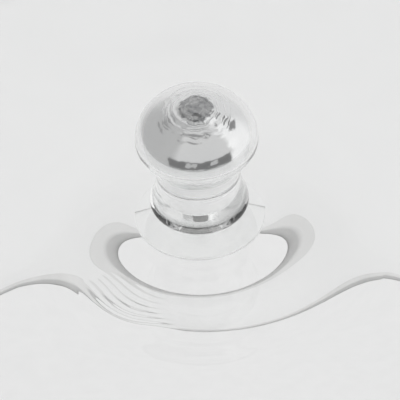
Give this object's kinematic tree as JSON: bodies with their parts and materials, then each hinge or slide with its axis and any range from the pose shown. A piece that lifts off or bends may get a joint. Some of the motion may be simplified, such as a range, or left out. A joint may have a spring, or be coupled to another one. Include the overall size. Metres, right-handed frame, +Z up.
{
  "type": "bell jar dome",
  "caption": "Round clear glass display bell with a silvered glass knob bonded to its thickened crown, lifting off a plain round white base on rubber feet.",
  "frame": {"origin": "centre of the circle of feet, on the surface that they stand on", "axes": "+Z up along the bell's axis; +X to the right of the front view, +Y to the back"},
  "size_m": [0.32, 0.32, 0.2367],
  "materials": {
    "bell_glass": "clear blown glass, polished, with a slight ripple round the crown",
    "clear_disc": "clear polished glass disc",
    "bond": "clear cured adhesive film",
    "knob_glass": "clear blown glass, polished",
    "silvering": "bright silver film seen through the glass, slightly uneven",
    "plug": "white silicone stopper",
    "board": "white satin lacquer over board",
    "deck": "white matt lacquer over board",
    "seat": "soft pale grey silicone, satin",
    "foot_rubber": "moulded matt rubber",
    "washer": "plain zinc-plated steel",
    "screw": "plain zinc-plated steel"
  },
  "bodies": {
    "base": {"base_board": "board", "deck_disc": "deck", "seat_ring": "seat", "foot_1": "foot_rubber", "foot_2": "foot_rubber", "foot_3": "foot_rubber", "foot_4": "foot_rubber", "foot_washer_1": "washer", "foot_washer_2": "washer", "foot_washer_3": "washer", "foot_washer_4": "washer", "foot_screw_1": "screw", "foot_screw_2": "screw", "foot_screw_3": "screw", "foot_screw_4": "screw"},
    "dome": {"glass_bell": "bell_glass", "disc_bond": "bond", "crown_disc": "clear_disc", "knob_bond": "bond", "knob_glass": "knob_glass", "knob_silvering": "silvering", "knob_plug": "plug"}
  },
  "joints": [
    {"name": "dome_lift", "type": "slide", "parent": "base", "child": "dome", "axis": [0, 0, 1], "range_m": [0, 0.25]}
  ]
}
